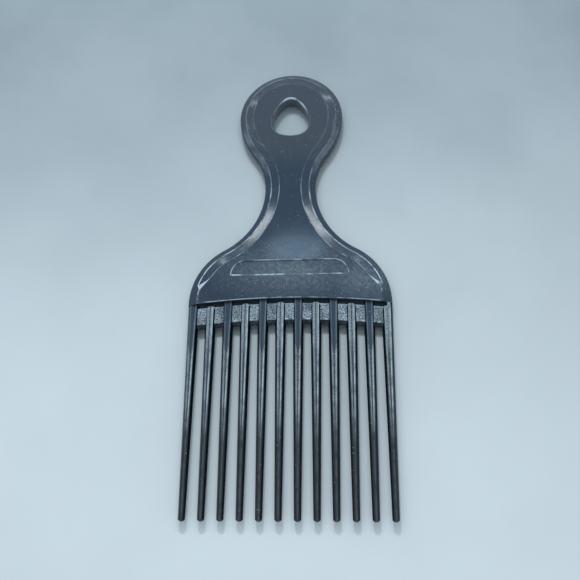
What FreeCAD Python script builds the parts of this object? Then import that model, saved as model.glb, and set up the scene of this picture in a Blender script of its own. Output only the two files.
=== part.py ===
import FreeCAD, Part
import math
import os

os.makedirs("parts", exist_ok=True)
V = FreeCAD.Vector

# Sizes in millimetres, with the comb lying on its back face and its teeth toward -Y
overall_width = 73.9
handle_thickness = 5.6

# Handle outline: a round head, a waisted neck and two rounded shoulders that end below the lip
ring_radius = 20.5
ring_cheek_radius = 30.0
ring_to_neck = 32.5
neck_width = 19.5
neck_to_shoulder = 46.4
shoulder_radius = 24.0
shoulder_below_lip = 1.0

# Handle edge, the same on both faces: an upright side, a steep band, a shallow bevel, then the flat face
side_height = 2.0
band_width = 2.5
bevel_width = 3.1
bevel_drop = 0.55
side_radius = 1.2
contour_radius = 1.8
inner_line_width = 0.32
outer_line_width = 0.44

# The bevel turns off the outline above the lip and ends in a sloping wall, where the band meets the face
bevel_turn_above_lip = 8.3
bevel_end_above_lip = 3.3
bevel_end_run = 1.7

# Hanging hole: a triangle with bulging sides and its point toward the end of the handle
hole_below_end = 12.8
hole_height = 17.0
hole_point_radius = 3.6
hole_corner_radius = 5.0
hole_corner_spacing = 4.2
hole_side_radius = 13.2
hole_base_radius = 11.0
hole_rim_radius = 0.8

# Shallow thumb rest across the shoulder, deeper along its upper edge
thumb_rest_width = 43.2
thumb_rest_height = 5.7
thumb_rest_above_lip = 9.1
thumb_rest_upper_depth = 0.45
thumb_rest_lower_depth = 0.12

# Lip, where the handle ends, and the bar with raised pads that runs under it, drawn to a blunt lower edge
lip_radius = 312.0
lip_edge_radius = 0.35
bar_height = 7.7
bar_thickness = 1.0
bar_edge_run = 2.0
bar_edge_radius = 0.4
pad_below_lip = 1.5
pad_rise = 0.4

# Teeth: eight-sided, drawn in evenly toward a round tip
tooth_count = 12
tooth_length = 76.6
tooth_width = 4.1
tooth_depth = 4.2
tooth_front_width = 2.3
tooth_crown = 0.2
tooth_tip_scale = 0.59
tooth_tip_radius = 1.4
tooth_edge_radius = 0.22
tooth_ridge_radius = 1.0
nose_gap = 0.5
ramp_length = 21.0
ramp_depth = 0.8

# Places worked out from the sizes, with the comb's middle at the origin
handle_length = ring_radius + ring_to_neck + neck_to_shoulder - shoulder_below_lip
overall_length = handle_length + tooth_length
half_width = overall_width / 2
neck_half = neck_width / 2
middle_z = handle_thickness / 2
tip_y = -overall_length / 2
lip_y = tip_y + tooth_length
shoulder_y = lip_y - shoulder_below_lip
neck_y = shoulder_y + neck_to_shoulder
ring_y = neck_y + ring_to_neck
end_y = ring_y + ring_radius
tooth_pitch = (overall_width - tooth_width) / (tooth_count - 1)
outer_tooth_x = half_width - tooth_width / 2

# Overshoot of cutting shapes, and the tolerance for choosing edges
beyond = handle_thickness
past_edge = 1.0
tolerance = 1e-3


def at(centre, radius, angle):
    return V(centre.x + radius * math.cos(angle), centre.y + radius * math.sin(angle), 0)


def arc(centre, radius, start, end):
    middle = (start + end) / 2
    return Part.Arc(at(centre, radius, start), at(centre, radius, middle), at(centre, radius, end)).toShape()


def heading(start, end):
    return math.atan2(end.y - start.y, end.x - start.x)


def mirrored(edges):
    return [edge.mirror(V(0, 0, 0), V(1, 0, 0)) for edge in reversed(edges)]


def raised(edges, z_low, z_high):
    face = Part.Face(Part.Wire(edges))
    face.translate(V(0, 0, z_low))
    return face.extrude(V(0, 0, z_high - z_low))


def side_profile(points):
    # A solid right across the comb, from its outline seen along X as (y, z) points
    corners = [V(-half_width - beyond, y, z) for y, z in points]
    face = Part.Face(Part.makePolygon(corners + corners[:1]))
    return face.extrude(V(overall_width + 2 * beyond, 0, 0))


def level_edges(shape, z):
    # The edges that lie wholly at one height
    chosen = []
    for edge in shape.Edges:
        middle = (edge.FirstParameter + edge.LastParameter) / 2
        points = [edge.valueAt(place) for place in (edge.FirstParameter, middle, edge.LastParameter)]
        if max(abs(point.z - z) for point in points) < tolerance:
            chosen.append(edge)
    return chosen


# Outline arcs of the right-hand side, each touching the next
ring_centre = V(0, ring_y, 0)
cheek_centre = V(ring_radius - ring_cheek_radius, ring_y, 0)
shoulder_centre = V(half_width - shoulder_radius, shoulder_y, 0)


def neck_arc_radius(touching_centre, touching_radius):
    # Radius of the hollow arc that leaves the neck upright and touches a rounded arc
    across = neck_half - touching_centre.x
    along = neck_y - touching_centre.y
    return (across ** 2 + along ** 2 - touching_radius ** 2) / (2 * (touching_radius - across))


upper_neck_radius = neck_arc_radius(cheek_centre, ring_cheek_radius)
lower_neck_radius = neck_arc_radius(shoulder_centre, shoulder_radius)
upper_neck_centre = V(neck_half + upper_neck_radius, neck_y, 0)
lower_neck_centre = V(neck_half + lower_neck_radius, neck_y, 0)
cheek_end = heading(cheek_centre, upper_neck_centre)
shoulder_start = heading(shoulder_centre, lower_neck_centre)
foot_y = shoulder_y - bar_height


def outline(inset, z):
    # The handle's outline drawn in by an inset, and carried on past the lip, which cuts it off later
    right = [
        arc(ring_centre, ring_radius - inset, math.pi / 2, 0),
        arc(cheek_centre, ring_cheek_radius - inset, 0, cheek_end),
        arc(upper_neck_centre, upper_neck_radius + inset, cheek_end + math.pi, math.pi),
        arc(lower_neck_centre, lower_neck_radius + inset, math.pi, shoulder_start + math.pi),
        arc(shoulder_centre, shoulder_radius - inset, shoulder_start, 0),
        Part.makeLine(V(half_width - inset, shoulder_y, 0), V(half_width - inset, foot_y, 0)),
    ]
    foot = Part.makeLine(V(half_width - inset, foot_y, 0), V(inset - half_width, foot_y, 0))
    wire = Part.Wire(right + [foot] + mirrored(right))
    wire.translate(V(0, 0, z))
    return wire


# The lip is an arch about a far centre, and what lies on the tooth side of it is a disc
lip_centre = V(0, lip_y - lip_radius, 0)
lip_sweep = math.degrees(2 * math.asin((half_width + beyond) / lip_radius))


def lip_disc(drop, z_low, z_high):
    return Part.makeCylinder(lip_radius - drop, z_high - z_low, lip_centre + V(0, 0, z_low))


def swept_along_lip(edges):
    # A solid from a section drawn at X = 0, carried along the lip right across the comb
    section = Part.Face(Part.Wire(edges)).rotated(lip_centre, V(0, 0, 1), -lip_sweep / 2)
    return section.revolve(lip_centre, V(0, 0, 1), lip_sweep)


def between_end_teeth(shape):
    box = shape.BoundBox
    corner = V(-outer_tooth_x, box.YMin, box.ZMin)
    return shape.common(Part.makeBox(2 * outer_tooth_x, box.YLength, box.ZLength, corner))


# Handle: body with the steep band carried right up to both faces
side_z = middle_z - side_height / 2
bevel_slope = bevel_drop / bevel_width
band_slope = (side_z - bevel_drop) / band_width
face_inset = side_z / band_slope
levels = [
    (face_inset, 0),
    (0, side_z),
    (0, handle_thickness - side_z),
    (face_inset, handle_thickness),
]
handle = Part.makeLoft([outline(inset, z) for inset, z in levels], True, True)
for inset, z in levels:
    rounding = contour_radius if inset else side_radius
    contour = [edge for edge in level_edges(handle, z) if edge.BoundBox.YLength > tolerance]
    handle = handle.makeFillet(rounding, contour)

# Handle: shallow bevel along the outline, with a narrow facet along its inner and its outer line
half_inner = inner_line_width / 2
half_outer = outer_line_width / 2
bevel_inset = band_width + bevel_width
outer_slope = (bevel_slope + band_slope) / 2
facet_inset = band_width + half_outer
facet_z = handle_thickness - bevel_drop + half_outer * bevel_slope


def outer_facet_z(inset):
    return facet_z - (facet_inset - inset) * outer_slope


below_bevel = Part.makeLoft([outline(inset, z) for inset, z in [
    (-2 * past_edge, outer_facet_z(-2 * past_edge)),
    (facet_inset, facet_z),
    (bevel_inset - half_inner, handle_thickness - half_inner * bevel_slope),
    (bevel_inset + 3 * half_inner, handle_thickness + half_inner * bevel_slope),
]], True, True)
bevel_low_z = outer_facet_z(-1.5 * past_edge)
bevel_high_z = handle_thickness + past_edge
bevel_block = Part.Face(outline(-past_edge, bevel_low_z)).extrude(V(0, 0, bevel_high_z - bevel_low_z))
bevel = bevel_block.cut(below_bevel)


def on_shoulder(inset, above_lip):
    # The place on the right-hand shoulder's outline, drawn in by an inset, at a height above the lip
    y = lip_y + above_lip
    return V(shoulder_centre.x + math.sqrt((shoulder_radius - inset) ** 2 - (y - shoulder_y) ** 2), y, 0)


def bevel_end():
    # What the bevel leaves standing beside the lip on the right, behind its sloping end wall
    turn = on_shoulder(bevel_inset, bevel_turn_above_lip)
    along = (on_shoulder(face_inset, bevel_end_above_lip) - turn).normalize()
    outward = V(-along.y, along.x, 0)
    fall = bevel_drop / bevel_end_run
    profile = [
        (-overall_width, middle_z),
        ((handle_thickness - middle_z) / fall, middle_z),
        (-beyond / fall, handle_thickness + beyond),
        (-overall_width, handle_thickness + beyond),
    ]
    corners = [turn - along * past_edge + outward * out + V(0, 0, z) for out, z in profile]
    return Part.Face(Part.makePolygon(corners + corners[:1])).extrude(along * overall_width)


right_end = bevel_end()
bevel = bevel.cut(right_end).cut(right_end.mirror(V(0, 0, 0), V(1, 0, 0)))
handle = handle.cut(bevel).cut(bevel.mirror(V(0, 0, middle_z), V(0, 0, 1)))

# Handle: hanging hole with rounded rims
hole_top_y = end_y - hole_below_end
hole_base_y = hole_top_y - hole_height
corner_x = hole_corner_spacing / 2
base_centre = V(0, hole_base_y + hole_base_radius, 0)
corner_drop = math.sqrt((hole_base_radius - hole_corner_radius) ** 2 - corner_x ** 2)
point_centre = V(0, hole_top_y - hole_point_radius, 0)
corner_centre = V(corner_x, base_centre.y - corner_drop, 0)
spread = corner_centre.sub(point_centre)
to_point = hole_side_radius - hole_point_radius
to_corner = hole_side_radius - hole_corner_radius
along = (to_point ** 2 - to_corner ** 2 + spread.Length ** 2) / (2 * spread.Length)
across = math.sqrt(to_point ** 2 - along ** 2)
slope = heading(point_centre, corner_centre)
side_centre = at(at(point_centre, along, slope), across, slope - math.pi / 2)
side_top = heading(side_centre, point_centre)
side_low = heading(side_centre, corner_centre)
base_end = heading(base_centre, corner_centre)
hole_right = [
    arc(point_centre, hole_point_radius, math.pi / 2, side_top),
    arc(side_centre, hole_side_radius, side_top, side_low),
    arc(corner_centre, hole_corner_radius, side_low, base_end),
    arc(base_centre, hole_base_radius, base_end, -math.pi / 2),
]
hole = raised(hole_right + mirrored(hole_right), -beyond, handle_thickness + beyond)
handle = handle.cut(hole)
for z in (0, handle_thickness):
    rim = [edge for edge in level_edges(handle, z) if edge.distToShape(hole)[0] < tolerance]
    handle = handle.makeFillet(hole_rim_radius, rim)

# Handle: thumb rest
rest_low_y = lip_y + thumb_rest_above_lip
rest_high_y = rest_low_y + thumb_rest_height
rest_half = thumb_rest_width / 2
rest_corner = V(rest_half - thumb_rest_height, rest_low_y, 0)
rest_right = [
    Part.makeLine(V(0, rest_high_y, 0), V(rest_corner.x, rest_high_y, 0)),
    arc(rest_corner, thumb_rest_height, math.pi / 2, 0),
    Part.makeLine(V(rest_half, rest_low_y, 0), V(0, rest_low_y, 0)),
]
rest = raised(rest_right + mirrored(rest_right), middle_z, handle_thickness + beyond)
rest_floor = side_profile([
    (rest_low_y, handle_thickness - thumb_rest_lower_depth),
    (rest_high_y, handle_thickness - thumb_rest_upper_depth),
    (rest_high_y, handle_thickness + beyond),
    (rest_low_y, handle_thickness + beyond),
])
handle = handle.cut(rest.common(rest_floor))

# Handle: lip, its two long edges rounded
handle = handle.cut(lip_disc(0, -beyond, handle_thickness + beyond))


def rounded_corner(y, z, radius, y_way, z_way):
    # Quarter round at a corner of a section seen along X, from its Y side to its Z side
    diagonal = radius * (1 - math.cos(math.pi / 4))
    start = V(0, y, z + z_way * radius)
    middle = V(0, y + y_way * diagonal, z + z_way * diagonal)
    end = V(0, y + y_way * radius, z)
    return start, end, Part.Arc(start, middle, end).toShape()


start, end, lip_round = rounded_corner(lip_y, handle_thickness, lip_edge_radius, 1, -1)
above_end = V(0, end.y, handle_thickness + beyond)
above_start = V(0, start.y, handle_thickness + beyond)
front_corner = swept_along_lip([
    lip_round,
    Part.makeLine(end, above_end),
    Part.makeLine(above_end, above_start),
    Part.makeLine(above_start, start),
])
back_corner = front_corner.mirror(V(0, 0, middle_z), V(0, 0, 1))
handle = handle.cut(front_corner).cut(back_corner)
handle.exportStep("parts/handle.step")


def rounded(before, corner, after, radius):
    # Arc that rounds one corner of a polygon
    to_before = (before - corner).normalize()
    to_after = (after - corner).normalize()
    half_angle = to_before.getAngle(to_after) / 2
    reach = radius / math.tan(half_angle)
    inward = (to_before + to_after).normalize() * (radius / math.sin(half_angle) - radius)
    return Part.Arc(corner + to_before * reach, corner + inward, corner + to_after * reach)


def rounded_polygon(corners, radii):
    # The edges of a closed polygon, with an arc at each corner that has a radius
    starts = []
    ends = []
    arcs = []
    befores = corners[-1:] + corners[:-1]
    afters = corners[1:] + corners[:1]
    for before, corner, after, radius in zip(befores, corners, afters, radii):
        turn = rounded(before, corner, after, radius) if radius else None
        starts.append(turn.StartPoint if turn else corner)
        ends.append(turn.EndPoint if turn else corner)
        arcs.append(turn)
    edges = []
    for turn, end, next_start in zip(arcs, ends, starts[1:] + starts[:1]):
        if turn:
            edges.append(turn.toShape())
        edges.append(Part.makeLine(end, next_start))
    return edges


# Root bar: a thin arched strip under the lip, with a raised pad on each face and a blunt lower edge
pad_top_y = lip_y - pad_below_lip
pad_low_y = lip_y - bar_height
front_corners = [
    (lip_y, bar_thickness / 2, 0),
    (pad_top_y, bar_thickness / 2, 0),
    (pad_top_y, bar_thickness / 2 + pad_rise, 0),
    (pad_low_y, bar_thickness / 2 + pad_rise, bar_edge_radius),
]
lower_edge = [(pad_low_y - bar_edge_run, 0, bar_edge_radius)]
back_corners = [(y, -z, radius) for y, z, radius in reversed(front_corners)]
bar_corners = front_corners + lower_edge + back_corners
bar_section = rounded_polygon([V(0, y, middle_z + z) for y, z, radius in bar_corners],
                              [radius for y, z, radius in bar_corners])
bar = between_end_teeth(swept_along_lip(bar_section))
bar.exportStep("parts/root_bar.step")

# Teeth: a round-tipped blank with a ramp on one face, turned over on every other tooth
half_depth = tooth_depth / 2
flank_height = half_depth - tooth_crown
section = [
    (tooth_width / 2, 0, tooth_edge_radius),
    (tooth_front_width / 2, flank_height, tooth_edge_radius),
    (0, half_depth, tooth_ridge_radius),
    (-tooth_front_width / 2, flank_height, tooth_edge_radius),
    (-tooth_width / 2, 0, tooth_edge_radius),
    (-tooth_front_width / 2, -flank_height, tooth_edge_radius),
    (0, -half_depth, tooth_ridge_radius),
    (tooth_front_width / 2, -flank_height, tooth_edge_radius),
]


def tooth_section(scale, y):
    # The section at one place along the tooth, with its corners rounded
    corners = [V(x * scale, y, middle_z + z * scale) for x, z, radius in section]
    return Part.Wire(rounded_polygon(corners, [radius * scale for x, z, radius in section]))


blank = Part.makeLoft([tooth_section(1, lip_y), tooth_section(tooth_tip_scale, tip_y)], True, True)
tip_ball = Part.makeSphere(tooth_tip_radius, V(0, tip_y + tooth_tip_radius, middle_z))
tip_corner = V(-tooth_width / 2, tip_y, middle_z - half_depth)
tip_block = Part.makeBox(tooth_width, tooth_tip_radius, tooth_depth, tip_corner)
blank = blank.cut(tip_block.cut(tip_ball))
ramp_scale = 1 - (1 - tooth_tip_scale) * ramp_length / tooth_length
ramp = side_profile([
    (lip_y, middle_z + half_depth - ramp_depth),
    (lip_y - ramp_length, middle_z + half_depth * ramp_scale),
    (lip_y - ramp_length, handle_thickness + beyond),
    (lip_y, handle_thickness + beyond),
])
ramped = blank.cut(ramp)
turned = ramped.rotated(V(0, 0, middle_z), V(0, 1, 0), 180)
root_disc = lip_disc(0, -beyond, handle_thickness + beyond)
nose_radius = tooth_width / 2
nose_face_radius = nose_radius - (tooth_width - tooth_front_width) / 2 * half_depth / flank_height


def nose_cut(x):
    # What is left over in front round a nose, a half cone that carries the flanks round the end of the tooth
    nose_y = lip_centre.y + math.sqrt(lip_radius ** 2 - x ** 2) - nose_gap - nose_radius
    cone = Part.makeCone(nose_radius, nose_face_radius, half_depth, V(x, nose_y, middle_z))
    block = Part.makeBox(tooth_width, tooth_width, half_depth, V(x - nose_radius, nose_y, middle_z))
    return between_end_teeth(block.cut(cone))


# Each tooth is forked over the bar: its ramp runs up to the lip, and its other face ends in a nose below it
for index in range(tooth_count):
    x = index * tooth_pitch - outer_tooth_x
    tooth = (turned if index % 2 else ramped).copy()
    tooth.translate(V(x, 0, 0))
    nose = nose_cut(x)
    if index % 2 == 0:
        nose = nose.mirror(V(0, 0, middle_z), V(0, 0, 1))
    tooth = tooth.common(root_disc).cut(nose).cut(bar)
    tooth.exportStep("parts/tooth_%02d.step" % (index + 1))
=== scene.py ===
import math
import bpy
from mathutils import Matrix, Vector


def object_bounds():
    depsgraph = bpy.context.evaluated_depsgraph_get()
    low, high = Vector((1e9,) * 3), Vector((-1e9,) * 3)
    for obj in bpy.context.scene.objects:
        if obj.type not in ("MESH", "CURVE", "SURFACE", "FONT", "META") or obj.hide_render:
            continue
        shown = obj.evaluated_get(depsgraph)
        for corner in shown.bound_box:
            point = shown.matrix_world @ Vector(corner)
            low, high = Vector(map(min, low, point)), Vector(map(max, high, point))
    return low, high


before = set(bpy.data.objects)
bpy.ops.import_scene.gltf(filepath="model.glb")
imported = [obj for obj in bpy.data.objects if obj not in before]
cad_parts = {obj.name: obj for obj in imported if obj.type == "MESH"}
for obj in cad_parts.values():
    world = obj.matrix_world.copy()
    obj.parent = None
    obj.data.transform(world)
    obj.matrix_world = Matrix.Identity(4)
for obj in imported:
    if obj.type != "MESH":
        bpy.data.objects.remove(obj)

cad_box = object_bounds()

# Handle: the ring, the waisted neck and the wide shoulder, one flat moulding with bevelled edges.
# Polished dark slate plastic, dusty round the thumb rest and finely scratched from use, with painted
# highlights along its bevel lines and edges.
# It stops at the lip, where the root bar and the two end teeth meet it.
mm = 0.001


def add(tree, kind, inputs, **settings):
    """One shader node: settings are its own options, inputs are values or other nodes' outputs."""
    node = tree.nodes.new("ShaderNode" + kind)
    for name, value in settings.items():
        setattr(node, name, value)
    for name, value in inputs.items():
        if isinstance(value, bpy.types.NodeSocket):
            tree.links.new(value, node.inputs[name])
        else:
            node.inputs[name].default_value = value
    return node


def math_of(tree, operation, first, second=0.0):
    """A sum, product or other operation on numbers that vary over the surface."""
    return add(tree, "Math", {0: first, 1: second}, operation=operation).outputs[0]


def product(tree, *masks):
    """Several masks multiplied together."""
    result = masks[0]
    for mask in masks[1:]:
        result = math_of(tree, "MULTIPLY", result, mask)
    return result


def most(tree, *masks):
    """The largest of several masks."""
    result = masks[0]
    for mask in masks[1:]:
        result = math_of(tree, "MAXIMUM", result, mask)
    return result


def strongest(tree, *weighted):
    """The largest of several masks, each given with its strength."""
    return most(tree, *(product(tree, mask, strength) for mask, strength in weighted))


def apart(tree, value, other):
    """How far one number lies from another, either way."""
    return math_of(tree, "ABSOLUTE", math_of(tree, "SUBTRACT", value, other))


def between(tree, value, low, high, low_result=0.0, high_result=1.0):
    """A smooth step of a varying number, from one result to another."""
    inputs = {"Value": value, "From Min": low, "From Max": high,
              "To Min": low_result, "To Max": high_result}
    return add(tree, "MapRange", inputs, interpolation_type="SMOOTHSTEP").outputs["Result"]


def noise(tree, place, scale, detail):
    """Cloudy noise, with its scale in clouds to the metre."""
    return add(tree, "TexNoise", {"Vector": place, "Scale": scale, "Detail": detail}).outputs["Fac"]


def patch(tree, place, centre, reach):
    """A soft round patch: full at its centre and gone at its reach along each axis."""
    inputs = {"Vector": place, "Location": centre, "Scale": reach}
    moved = add(tree, "Mapping", inputs, vector_type="TEXTURE").outputs["Vector"]
    return add(tree, "TexGradient", {"Vector": moved}, gradient_type="SPHERICAL").outputs["Fac"]


def specks(tree, place, spacing, share, size):
    """Separate dust grains seen from above: a share of the cells hold one, of a size in parts of a cell."""
    smallest = 0.4 * size
    soft_edge = 0.12
    faintest = 0.25
    cells = add(tree, "TexVoronoi", {"Vector": place, "Scale": 1 / spacing}, voronoi_dimensions="2D")
    chances = add(tree, "SeparateColor", {"Color": cells.outputs["Color"]}).outputs
    chosen = math_of(tree, "GREATER_THAN", math_of(tree, "ADD", chances["Red"], share), 1.0)
    grain = between(tree, chances["Green"], 0.0, 1.0, smallest, size)
    inside = math_of(tree, "SUBTRACT", grain, cells.outputs["Distance"])
    shade = between(tree, chances["Blue"], 0.0, 1.0, faintest, 1.0)
    return product(tree, between(tree, inside, 0.0, soft_edge), chosen, shade)


def scratches(tree, place, scale, turn, width):
    """Long thin hairlines along one turned direction, broken here and there."""
    drawn_out = (1.0, 0.03, 1.0)
    inputs = {"Vector": place, "Rotation": (0, 0, turn), "Scale": drawn_out}
    stretched = add(tree, "Mapping", inputs).outputs["Vector"]
    off_line = apart(tree, noise(tree, stretched, scale, detail=1.0), 0.5)
    broken = between(tree, noise(tree, place, scale=130, detail=2.0), 0.52, 0.62)
    return product(tree, between(tree, off_line, width, 0.0), broken)


def level_length(tree, vector):
    """The length of a vector as seen from above."""
    level = add(tree, "VectorMath", {0: vector, 1: (1, 1, 0)}, operation="MULTIPLY").outputs["Vector"]
    return add(tree, "VectorMath", {0: level}, operation="LENGTH").outputs["Value"]


def from_above(tree, place, centre):
    """The distance from a centre as seen from above."""
    offset = add(tree, "VectorMath", {0: place, 1: centre}, operation="SUBTRACT").outputs["Vector"]
    return level_length(tree, offset)


def ramp(tree, value, stops):
    """A number looked up along stops of (position, result)."""
    node = add(tree, "ValToRGB", {"Fac": value})
    elements = node.color_ramp.elements
    while len(elements) < len(stops):
        elements.new(1.0)
    for element, (position, result) in zip(elements, stops):
        element.position = position
        element.color = (result, result, result, 1)
    return node.outputs["Color"]


def lean_line(tree, lean, start, full, last, end):
    """A mask of the surfaces that lean by a range: it rises from start to full and falls from last to end."""
    return ramp(tree, lean, [(0.0, 0), (start, 0), (full, 1), (last, 1), (end, 0)])


def blend(tree, amount, under, over):
    """One colour laid over another by a mask."""
    mix = add(tree, "Mix", {"Factor": amount}, data_type="RGBA")
    for socket, colour in ((mix.inputs[6], under), (mix.inputs[7], over)):
        if isinstance(colour, bpy.types.NodeSocket):
            tree.links.new(colour, socket)
        else:
            socket.default_value = (*colour, 1)
    return mix.outputs[2]


def finish(name):
    """A new node material, with its tree, its shader and the place on the piece."""
    material = bpy.data.materials.new(name)
    material.use_nodes = True
    tree = material.node_tree
    place = add(tree, "TexCoord", {}).outputs["Object"]
    return material, tree, tree.nodes["Principled BSDF"], place


slate = (0.016, 0.030, 0.051)
slate_cloud = (0.026, 0.044, 0.070)
ring_grey_slate = (0.046, 0.055, 0.072)
# Pale colour for the dust, also used for the painted highlights
dust_and_highlight = (0.52, 0.63, 0.71)
plastic_ior = 1.5
ring_centre = (0, 67 * mm, 0)
face_height = cad_box[1][2]

# The lean is 0 on a level face and 1 on an upright side
handle_finish, tree, shader, place = finish("handle_finish")
normal = add(tree, "NewGeometry", {}).outputs["Normal"]
facing = add(tree, "SeparateXYZ", {"Vector": normal}).outputs
lean = level_length(tree, normal)
axes = add(tree, "SeparateXYZ", {"Vector": place}).outputs
across = math_of(tree, "ABSOLUTE", axes["X"])
ring_radius = from_above(tree, place, ring_centre)
patchy = between(tree, noise(tree, place, scale=260, detail=3.0), 0.36, 0.62, 0.20, 1.0)

# The thumb rest's rim: an arch with round corners over a straight lower step, painted pale partly as caught
# dust and partly as a painted highlight
rest_low = -1.8 * mm
rest_height = 5.75 * mm
rest_corner_x = 15.85 * mm
rest_half = 21.8 * mm
rest_fade = 1 * mm
arch_width = 0.30 * mm
arch_strength = 0.85
arch_foot = 0.1 * mm
step_width = 0.48 * mm
above = math_of(tree, "SUBTRACT", axes["Y"], rest_low)
past_corner = math_of(tree, "MAXIMUM", math_of(tree, "SUBTRACT", across, rest_corner_x), 0.0)
from_corner = add(tree, "CombineXYZ", {"X": past_corner, "Y": above}).outputs["Vector"]
off_arch = apart(tree, level_length(tree, from_corner), rest_height)
arch = product(tree, between(tree, off_arch, arch_width, 0.0), between(tree, above, -arch_foot, arch_foot))
off_step = math_of(tree, "ABSOLUTE", above)
step = product(tree, between(tree, off_step, step_width, 0.0),
               between(tree, across, rest_half, rest_half - rest_fade))
rest_rim_dust_and_highlight = product(tree, strongest(tree, (arch, arch_strength), (step, 1.0)), patchy)

# Pale lines, partly wear and partly painted highlights, where the flat face turns into the bevel, and where
# the bevel turns into the steep band
ring_fade = (46 * mm, 26 * mm)
lip_fade = (-8.5 * mm, -6.5 * mm)
face_line = lean_line(tree, lean, start=0.03, full=0.06, last=0.12, end=0.155)
band_line = lean_line(tree, lean, start=0.20, full=0.26, last=0.34, end=0.42)
contour_wear_and_highlight = strongest(tree, (face_line, 0.55), (band_line, 0.9))
faint_on_ring = between(tree, axes["Y"], *ring_fade, 0.22, 1.0)
faint_at_lip = between(tree, axes["Y"], *lip_fade, 0.25, 1.0)
off_rest = most(tree, between(tree, above, rest_height, rest_height + rest_fade),
                between(tree, across, rest_half, rest_half + rest_fade))
contour_wear_and_highlight = product(tree, contour_wear_and_highlight, patchy, faint_on_ring, off_rest, faint_at_lip)

# Under the ring the steep band carries a painted highlight instead, most of all where it turns into the
# upright side
under_ring_top = (63 * mm, 57 * mm)
under_ring_low = (38 * mm, 44 * mm)
band_highlight = ramp(tree, lean, [(0.0, 0), (0.44, 0), (0.447, 0.17), (0.48, 0.9), (0.57, 0)])
under_ring = product(tree, between(tree, axes["Y"], *under_ring_top),
                     between(tree, axes["Y"], *under_ring_low))
contour_wear_and_highlight = most(tree, contour_wear_and_highlight, product(tree, band_highlight, patchy, under_ring))

# Dust lies thicker on and below the thumb rest, on the right shoulder and along the ring's right edge
bevel_height = 5 * mm
dust_depth = 9 * mm
dusty_share = 0.42
least_share = 0.025
thumb_dust = patch(tree, place, centre=(0, 0, face_height), reach=(34 * mm, 14 * mm, dust_depth))
shoulder_dust = patch(tree, place, centre=(26 * mm, -4 * mm, face_height),
                      reach=(16 * mm, 10 * mm, dust_depth))
ring_dust = patch(tree, place, centre=(19 * mm, 67 * mm, bevel_height), reach=(5 * mm, 16 * mm, dust_depth))
thick = most(tree, thumb_dust, shoulder_dust)
share = math_of(tree, "ADD", product(tree, most(tree, thick, ring_dust), dusty_share), least_share)
fine_grains = specks(tree, place, spacing=0.45 * mm, share=share, size=0.30)
coarse_grains = specks(tree, place, spacing=1.5 * mm, share=share, size=0.14)
grains = product(tree, most(tree, fine_grains, coarse_grains), between(tree, lean, 0.80, 0.50))

# Hairline scratches, and fine arcs round the ring's bevel
ring_start = (40 * mm, 55 * mm)
hairlines = most(tree, scratches(tree, place, scale=420, turn=0.5, width=0.012),
                 scratches(tree, place, scale=380, turn=-0.9, width=0.010))
circles = add(tree, "TexNoise", {"W": ring_radius, "Scale": 2400, "Detail": 2.0}, noise_dimensions="1D")
arcs = between(tree, circles.outputs["Fac"], 0.58, 0.68)
on_bevel = between(tree, lean, 0.05, 0.12)
near_ring = between(tree, axes["Y"], *ring_start)
broken = between(tree, noise(tree, place, scale=150, detail=3.0), 0.42, 0.62)
arcs = product(tree, arcs, on_bevel, near_ring, broken)

# The rounded edges that face the teeth carry a painted highlight: the lip, and the upper rim of the hanging
# hole
lip_start = (-8 * mm, -9 * mm)
hole_reach = (13 * mm, 11 * mm)
downward = math_of(tree, "MULTIPLY", facing["Y"], -1.0)
at_lip = between(tree, axes["Y"], *lip_start)
at_hole = between(tree, ring_radius, *hole_reach)
edge_highlight = product(tree, between(tree, downward, 0.10, 0.40), between(tree, facing["Z"], 0.10, 0.40),
                    patchy, most(tree, at_lip, at_hole))
# The hole's upright wall is painted a little paler, as painted light
hole_wall_light = product(tree, at_hole, between(tree, lean, 0.80, 0.95))

# A painted highlight lies on the wall that ends the bevel beside the lip, on both shoulders
corner_place = add(tree, "CombineXYZ", {"X": across, "Y": axes["Y"]}).outputs["Vector"]
corner_highlight = patch(tree, corner_place, centre=(31 * mm, -4 * mm, 0), reach=(7 * mm, 10 * mm, 1))
corner_highlight = between(tree, product(tree, corner_highlight, patchy), 0.05, 0.35)
end_wall = lean_line(tree, lean, start=0.22, full=0.27, last=0.36, end=0.42)
corner_highlight = product(tree, corner_highlight, end_wall)

# The dust film, grains, scratches, worn lines and painted highlights over the slate colour, which is lighter
# and greyer over the ring
ring_grey_strength = 0.7
marked_roughness = 0.5
ripple_share = 0.15
film_clouds = between(tree, noise(tree, place, scale=700, detail=4.0), 0.35, 0.70, 0.09, 0.19)
film = product(tree, thick, film_clouds)
marks = strongest(tree, (grains, 0.60), (hairlines, 0.02), (arcs, 0.16), (contour_wear_and_highlight, 0.75), (rest_rim_dust_and_highlight, 1.0),
                  (edge_highlight, 0.9), (corner_highlight, 0.8), (hole_wall_light, 0.18), (film, 1.0))
clouds = blend(tree, noise(tree, place, scale=60, detail=4.0), slate, slate_cloud)
# A lighter, greyer slate is laid over the ring
clouds = blend(tree, product(tree, near_ring, ring_grey_strength), clouds, ring_grey_slate)
tree.links.new(blend(tree, marks, clouds, dust_and_highlight), shader.inputs["Base Color"])
smudge = between(tree, noise(tree, place, scale=75, detail=5.0), 0.35, 0.70, 0.07, 0.12)
roughness = math_of(tree, "ADD", smudge, product(tree, marks, marked_roughness))
tree.links.new(roughness, shader.inputs["Roughness"])
shader.inputs["IOR"].default_value = plastic_ior
ripple = product(tree, noise(tree, place, scale=900, detail=2.0), ripple_share)
relief = math_of(tree, "ADD", ripple, marks)
bump = add(tree, "Bump", {"Height": relief, "Strength": 0.06, "Distance": 0.04 * mm})
tree.links.new(bump.outputs["Normal"], shader.inputs["Normal"])
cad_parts["handle"].material_slots[0].material = handle_finish

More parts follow.
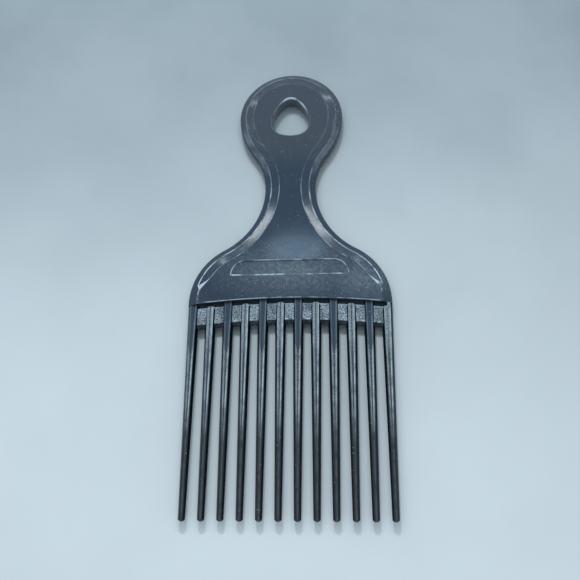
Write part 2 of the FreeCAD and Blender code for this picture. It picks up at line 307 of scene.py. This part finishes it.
# Root bar: the thin web under the lip that ties the teeth together.
# The same plastic with a coarse, unpolished face, in a slate darkened as painted shade, pale with dust caught
# in its grain and a painted sheen.
# It runs under the lip and through every tooth.
# A darker slate than the handle's: painted shade in the groove and on the lower edge
shaded_bar_slate = (0.008, 0.013, 0.019)
bar_dust_and_sheen = (0.42, 0.52, 0.60)
grain_scale = 1900
bar_finish, tree, shader, place = finish("bar_finish")
grain = noise(tree, place, grain_scale, detail=4.0)
drift = between(tree, noise(tree, place, scale=230, detail=3.0), 0.30, 0.62, 0.45, 1.0)
# Pale paint in the grain: dust caught there, and a painted sheen of the rough face
grain_dust_and_sheen = product(tree, between(tree, grain, 0.30, 0.68), drift)
bright = specks(tree, place, spacing=0.6 * mm, share=0.25, size=0.34)

# The groove between the lip and the pad gets hardly any pale paint and stays dark, and the pad's upper and
# lower edges carry painted highlights
lip_radius = 312 * mm
lip_top = -10.9 * mm
pad_top = 1.5 * mm
pad_low = 7.7 * mm
pad_soft = 0.1 * mm
top_highlight_band = (pad_top + 0.5 * mm, pad_top + 0.2 * mm)
low_highlight_band = (pad_low - 0.9 * mm, pad_low - 0.4 * mm)
groove_share = 0.08
from_lip_centre = from_above(tree, place, (0, lip_top - lip_radius, 0))
below_lip = math_of(tree, "SUBTRACT", lip_radius, from_lip_centre)
on_pad = product(tree, between(tree, below_lip, pad_top - pad_soft, pad_top + pad_soft),
                 between(tree, below_lip, pad_low + pad_soft, pad_low - 2 * pad_soft))
top_edge = product(tree, between(tree, below_lip, *top_highlight_band), drift)
low_edge = product(tree, between(tree, below_lip, *low_highlight_band),
                   between(tree, noise(tree, place, scale=800, detail=2.0), 0.50, 0.60))
dust_and_sheen_marks = strongest(tree, (grain_dust_and_sheen, 0.95), (bright, 1.0), (top_edge, 0.8), (low_edge, 1.0))
kept_share = math_of(tree, "ADD", product(tree, on_pad, 1 - groove_share), groove_share)
dust_and_sheen_marks = product(tree, dust_and_sheen_marks, kept_share)
tree.links.new(blend(tree, dust_and_sheen_marks, shaded_bar_slate, bar_dust_and_sheen), shader.inputs["Base Color"])
tree.links.new(between(tree, grain, 0.3, 0.7, 0.4, 0.7), shader.inputs["Roughness"])
tree.links.new(between(tree, on_pad, 0.0, 1.0, 0.12, 0.4), shader.inputs["Specular IOR Level"])
bump = add(tree, "Bump", {"Height": grain, "Strength": 0.5, "Distance": 0.12 * mm})
tree.links.new(bump.outputs["Normal"], shader.inputs["Normal"])
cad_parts["root_bar"].material_slots[0].material = bar_finish

# Teeth: twelve straight tapering teeth, with a low ridge along each face and a round tip.
# The same plastic in a slate darkened as painted shade, with painted sheen and rubbing on the facets near the
# root, and polished on every other root's ramp.
# Each one is forked over the root bar, and the end ones meet the handle too.
# A darker slate than the handle's, as painted shade on the flanks
shaded_tooth_slate = (0.003, 0.0065, 0.012)
pale_wear_and_sheen = (0.42, 0.51, 0.57)
tooth_finish, tree, shader, place = finish("tooth_finish")
axes = add(tree, "SeparateXYZ", {"Vector": place}).outputs
facing = add(tree, "SeparateXYZ", {"Vector": add(tree, "NewGeometry", {}).outputs["Normal"]}).outputs
sideways = math_of(tree, "ABSOLUTE", facing["X"])
lengthways = math_of(tree, "ABSOLUTE", facing["Y"])

# The ramps and the ridges are bare, and the facets beside them carry a painted sheen with some rubbing, less
# and less toward the tip
wear_fade = (-64 * mm, -45 * mm)
root_rise = (-38 * mm, -24 * mm)
ridge_start = (-26 * mm, -36 * mm)
polished = product(tree, between(tree, lengthways, 0.012, 0.020), between(tree, sideways, 0.06, 0.03))
ridge = product(tree, between(tree, sideways, 0.11, 0.03), between(tree, axes["Y"], *ridge_start))
near_root = most(tree, between(tree, axes["Y"], *wear_fade, 0.06, 0.60),
                 between(tree, axes["Y"], *root_rise, 0.0, 1.6))
grain = noise(tree, place, grain_scale, detail=4.0)
rubbed_facet_sheen = product(tree, between(tree, grain, 0.28, 0.70, 0.25, 1.0), near_root,
                between(tree, sideways, 0.34, 0.24))
for bare in (polished, ridge):
    rubbed_facet_sheen = product(tree, rubbed_facet_sheen, between(tree, bare, 0.0, 1.0, 1.0, 0.0))

# Two painted highlight lines along each tooth's face, wide apart at the root and closing toward the ridge
# further down, the left one fainter
pitch = 6.345 * mm
line_start = -15 * mm
line_apart = 0.92 * mm
line_closing = 0.0146
line_least = 0.15 * mm
line_width = (0.34 * mm, 0.08 * mm)
left_highlight_strength = 0.60
from_middle = math_of(tree, "FRACT", math_of(tree, "DIVIDE", axes["X"], pitch))
from_middle = math_of(tree, "SUBTRACT", from_middle, 0.5)
off_middle = product(tree, math_of(tree, "ABSOLUTE", from_middle), pitch)
line_place = product(tree, math_of(tree, "SUBTRACT", axes["Y"], line_start), line_closing)
line_place = math_of(tree, "MAXIMUM", math_of(tree, "ADD", line_place, line_apart), line_least)
off_line = apart(tree, off_middle, line_place)
facet_highlight_line = product(tree, between(tree, off_line, *line_width), between(tree, sideways, 0.70, 0.40),
                    between(tree, from_middle, -0.02, 0.02, left_highlight_strength, 1.0))

# The rounded edges are worn and carry a painted highlight at the root too, but every second tooth from the
# left has its polished ramp in front, with hardly any of that pale paint beside it
corner_fade = (-34 * mm, -26 * mm)
ramp_foot = (-33 * mm, -27 * mm)
edge_wear_and_highlight = lean_line(tree, sideways, start=0.22, full=0.40, last=0.70, end=0.88)
edge_wear_and_highlight = most(tree, product(tree, edge_wear_and_highlight, between(tree, axes["Y"], *corner_fade, 0.15, 1.0)), facet_highlight_line)
pair = math_of(tree, "FRACT", math_of(tree, "DIVIDE", axes["X"], 2 * pitch))
beside_ramp = product(tree, math_of(tree, "LESS_THAN", pair, 0.5), between(tree, axes["Y"], *ramp_foot))
edge_wear_and_highlight = product(tree, edge_wear_and_highlight, between(tree, beside_ramp, 0.0, 1.0, 1.0, 0.25),
               between(tree, noise(tree, place, scale=260, detail=3.0), 0.30, 0.62, 0.45, 1.0),
               between(tree, axes["Y"], *wear_fade, 0.15, 1.0))

# The painted highlights and sheen, the wear and a few flecks of dust over the shade-darkened slate colour,
# with flanks that hardly mirror the floor
worn_roughness = 0.3
flecks = specks(tree, place, spacing=0.9 * mm, share=0.10, size=0.25)
flecks = product(tree, flecks, between(tree, sideways, 0.60, 0.30))
marks = strongest(tree, (edge_wear_and_highlight, 0.95), (rubbed_facet_sheen, 0.42), (flecks, 0.4))
plain = blend(tree, polished, shaded_tooth_slate, slate_cloud)
tree.links.new(blend(tree, marks, plain, pale_wear_and_sheen), shader.inputs["Base Color"])
tree.links.new(between(tree, sideways, 0.74, 0.88, 0.5, 0.06), shader.inputs["Specular IOR Level"])
dull = between(tree, polished, 0.0, 1.0, 0.22, 0.10)
roughness = math_of(tree, "ADD", dull, product(tree, marks, worn_roughness))
tree.links.new(roughness, shader.inputs["Roughness"])
shader.inputs["IOR"].default_value = plastic_ior
bump = add(tree, "Bump", {"Height": grain, "Strength": 0.12, "Distance": 0.05 * mm})
tree.links.new(bump.outputs["Normal"], shader.inputs["Normal"])
for name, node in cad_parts.items():
    if name.startswith("tooth_"):
        node.material_slots[0].material = tooth_finish

# Floor: a plain pale table top under the comb.
# Matt grey-white, a little mottled, with a painted shade that darkens it toward the far end.
# It is only the stage, level with the comb's back face.
floor_size = 4.0
floor_near = (0.76, 0.81, 0.84)
floor_far_shade = (0.24, 0.28, 0.305)
floor_fade = (-0.13, 0.14)
mottle_depth = 0.05
bpy.ops.object.select_all(action="DESELECT")
bpy.ops.mesh.primitive_plane_add(size=floor_size)
floor = bpy.context.object
floor.name = "floor"
floor_finish, tree, shader, place = finish("floor_finish")
axes = add(tree, "SeparateXYZ", {"Vector": place}).outputs
far_shade = between(tree, axes["Y"], *floor_fade)
mottle = between(tree, noise(tree, place, scale=14, detail=5.0), 0.3, 0.7, -mottle_depth, mottle_depth)
tone = math_of(tree, "ADD", far_shade, mottle)
tree.links.new(blend(tree, tone, floor_near, floor_far_shade), shader.inputs["Base Color"])
shader.inputs["Roughness"].default_value = 0.7
shader.inputs["Specular IOR Level"].default_value = 0.2
floor.data.materials.append(floor_finish)

# Light: an even pale sky, and lamp panels overhead, most of them in pairs left and right of the comb.
# Their reflections run along the bevels of the ring, the neck and the shoulder, and along the teeth.
# Three soft keys that leave no reflection light the floor and the dust.
lamp_white = (0.86, 0.95, 1.0)
lamp_blue = (0.46, 0.74, 1.0)
panel_height = 0.405
mirror_x = -0.038


def panel(name, x, y, width, length, radiance, turn=0.0, colour=lamp_white):
    """A lamp panel that faces down, in metres and degrees. At a radiance of 1 it would look just white."""
    lamp = bpy.data.lights.new(name, "AREA")
    lamp.shape = "RECTANGLE"
    lamp.size = width
    lamp.size_y = length
    lamp.energy = radiance * math.pi * width * length
    lamp.color = colour
    holder = bpy.data.objects.new(name, lamp)
    bpy.context.scene.collection.objects.link(holder)
    holder.location = (x, y, panel_height)
    holder.rotation_euler = (0, 0, math.radians(turn))
    return holder


for side, hand, neck_y in ((-1, "left", 0.341), (1, "right", 0.322)):
    panel(hand + "_neck_strip", mirror_x + side * 0.166, neck_y, width=0.014, length=0.046,
          radiance=15.0, turn=-side * 11)
    panel(hand + "_ring_panel", mirror_x + side * 0.183, 0.512, width=0.008, length=0.110,
          radiance=13.0, turn=side * 42)
    panel(hand + "_tooth_panel", mirror_x + side * 0.146, 0.100, width=0.090, length=0.090, radiance=2.5)
    panel(hand + "_side_strip", mirror_x + side * 0.241, 0.167, width=0.010, length=0.220,
          radiance=2.5, turn=-side * 39.5)
    key = panel(hand + "_key", mirror_x + side * 0.205, 0.280, width=0.120, length=0.120, radiance=8.0)
    key.visible_glossy = False
panel("left_end_panel", -0.376, 0.438, width=0.045, length=0.045, radiance=6.0)
panel("right_end_panel", 0.273, 0.407, width=0.045, length=0.045, radiance=6.0)
far_key = panel("far_key", mirror_x, 0.360, width=0.100, length=0.100, radiance=60.0)
far_key.visible_glossy = False
spot = panel("middle_panel", -0.022, 0.192, width=0.056, length=0.022, radiance=4.4, colour=lamp_blue)
spot.data.shape = "ELLIPSE"

sky_colour = (0.80, 0.92, 1.0)
sky_strength = 0.55
world = bpy.data.worlds.new("sky")
bpy.context.scene.world = world
world.use_nodes = True
sky = world.node_tree.nodes["Background"]
sky.inputs["Color"].default_value = (*sky_colour, 1)
sky.inputs["Strength"].default_value = sky_strength

# Camera: above the teeth, tilted toward the ring and a little to the left.
# Its focal length is given in pixels of a 580 by 580 picture.
picture_size = 580
focal_pixels = 700
camera_place = (16.70 * mm, -98.89 * mm, 240.58 * mm)
camera_turns = (21.07, 4.09, -1.01)
camera_data = bpy.data.cameras.new("camera")
camera_data.sensor_width = 36
camera_data.lens = camera_data.sensor_width * focal_pixels / picture_size
camera_data.clip_start = 0.01
camera = bpy.data.objects.new("camera", camera_data)
bpy.context.scene.collection.objects.link(camera)
camera.location = camera_place
camera.rotation_mode = "YXZ"
camera.rotation_euler = [math.radians(turn) for turn in camera_turns]
bpy.context.scene.camera = camera
bpy.context.scene.view_settings.view_transform = "Standard"
